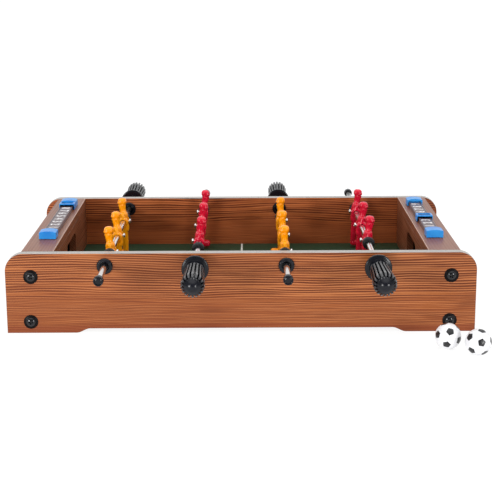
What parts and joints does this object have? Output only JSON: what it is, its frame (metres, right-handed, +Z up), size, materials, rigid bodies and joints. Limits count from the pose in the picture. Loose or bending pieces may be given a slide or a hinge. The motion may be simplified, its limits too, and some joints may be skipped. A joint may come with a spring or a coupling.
{
  "type": "tabletop foosball",
  "caption": "Wooden tabletop football box with sliding, spinning rods of small figures, a goal at each end, score slides on the shelves and loose balls.",
  "frame": {"origin": "centre of the pitch, on its playing surface", "axes": "+X runs from the left goal to the right goal, +Y runs along the rods from the front wall to the back wall, +Z is up"},
  "size_m": [0.5126, 0.5283, 0.1045],
  "materials": {
    "wood": "satin woodgrain laminate",
    "end_wood": "satin woodgrain laminate",
    "pitch": "printed green board with white lines",
    "steel": "polished steel tube",
    "black_plastic": "moulded, glossy",
    "rubber": "matte",
    "yellow_plastic": "moulded, semi-gloss",
    "red_plastic": "moulded, semi-gloss",
    "blue_plastic": "moulded, semi-gloss",
    "number_bar": "printed with plain white numbers",
    "ball_white": "white with black pentagons"
  },
  "bodies": {
    "table": {"front_wall": "wood", "back_wall": "wood", "pitch_board": "pitch", "left_shelf": "end_wood", "left_goal_wall": "end_wood", "left_end_panel": "end_wood", "right_shelf": "end_wood", "right_goal_wall": "end_wood", "right_end_panel": "end_wood", "bushing_1_front": "black_plastic", "bushing_1_back": "black_plastic", "bushing_2_front": "black_plastic", "bushing_2_back": "black_plastic", "bushing_3_front": "black_plastic", "bushing_3_back": "black_plastic", "bushing_4_front": "black_plastic", "bushing_4_back": "black_plastic", "left_score_block_front": "blue_plastic", "left_score_block_back": "blue_plastic", "left_number_bar": "number_bar", "right_score_block_front": "blue_plastic", "right_score_block_back": "blue_plastic", "right_number_bar": "number_bar"},
    "rod_1_shaft": {"rod_1": "steel"},
    "rod_1_figures": {"player_1a": "yellow_plastic", "player_1b": "yellow_plastic", "player_1c": "yellow_plastic", "bumper_1_front": "rubber", "bumper_1_back": "rubber", "handle_1": "black_plastic", "end_cap_1": "black_plastic"},
    "rod_2_shaft": {"rod_2": "steel"},
    "rod_2_figures": {"player_2a": "red_plastic", "player_2b": "red_plastic", "player_2c": "red_plastic", "bumper_2_front": "rubber", "bumper_2_back": "rubber", "handle_2": "black_plastic", "end_cap_2": "black_plastic"},
    "rod_3_shaft": {"rod_3": "steel"},
    "rod_3_figures": {"player_3a": "yellow_plastic", "player_3b": "yellow_plastic", "player_3c": "yellow_plastic", "bumper_3_front": "rubber", "bumper_3_back": "rubber", "handle_3": "black_plastic", "end_cap_3": "black_plastic"},
    "rod_4_shaft": {"rod_4": "steel"},
    "rod_4_figures": {"player_4a": "red_plastic", "player_4b": "red_plastic", "player_4c": "red_plastic", "bumper_4_front": "rubber", "bumper_4_back": "rubber", "handle_4": "black_plastic", "end_cap_4": "black_plastic"},
    "left_slider": {"left_score_slider": "blue_plastic"},
    "right_slider": {"right_score_slider": "blue_plastic"},
    "ball_1_body": {"ball_1": "ball_white"},
    "ball_2_body": {"ball_2": "ball_white"}
  },
  "joints": [
    {"name": "rod_1_slide", "type": "slide", "parent": "table", "child": "rod_1_shaft", "axis": [0, 1, 0], "range_m": [-0.032, 0.052]},
    {"name": "rod_1_spin", "type": "hinge", "parent": "rod_1_shaft", "child": "rod_1_figures", "pos_m": [-0.147, -0.01, 0.047], "axis": [0, 1, 0], "continuous": true},
    {"name": "rod_2_slide", "type": "slide", "parent": "table", "child": "rod_2_shaft", "axis": [0, 1, 0], "range_m": [-0.06, 0.002]},
    {"name": "rod_2_spin", "type": "hinge", "parent": "rod_2_shaft", "child": "rod_2_figures", "pos_m": [-0.049, 0.04, 0.047], "axis": [0, 1, 0], "continuous": true},
    {"name": "rod_3_slide", "type": "slide", "parent": "table", "child": "rod_3_shaft", "axis": [0, 1, 0], "range_m": [-0.033, 0.051]},
    {"name": "rod_3_spin", "type": "hinge", "parent": "rod_3_shaft", "child": "rod_3_figures", "pos_m": [0.049, -0.009, 0.047], "axis": [0, 1, 0], "continuous": true},
    {"name": "rod_4_slide", "type": "slide", "parent": "table", "child": "rod_4_shaft", "axis": [0, 1, 0], "range_m": [-0.083, 0.001]},
    {"name": "rod_4_spin", "type": "hinge", "parent": "rod_4_shaft", "child": "rod_4_figures", "pos_m": [0.147, 0.041, 0.047], "axis": [0, 1, 0], "continuous": true},
    {"name": "left_score_slide", "type": "slide", "parent": "table", "child": "left_slider", "axis": [0, 1, 0], "range_m": [-0.1429, 0.0003]},
    {"name": "right_score_slide", "type": "slide", "parent": "table", "child": "right_slider", "axis": [0, 1, 0], "range_m": [-0.0665, 0.0767]},
    {"name": "ball_1_lift", "type": "slide", "parent": "table", "child": "ball_1_body", "axis": [0, 0, 1], "range_m": [0, 0.15]},
    {"name": "ball_2_lift", "type": "slide", "parent": "table", "child": "ball_2_body", "axis": [0, 0, 1], "range_m": [0, 0.15]}
  ]
}
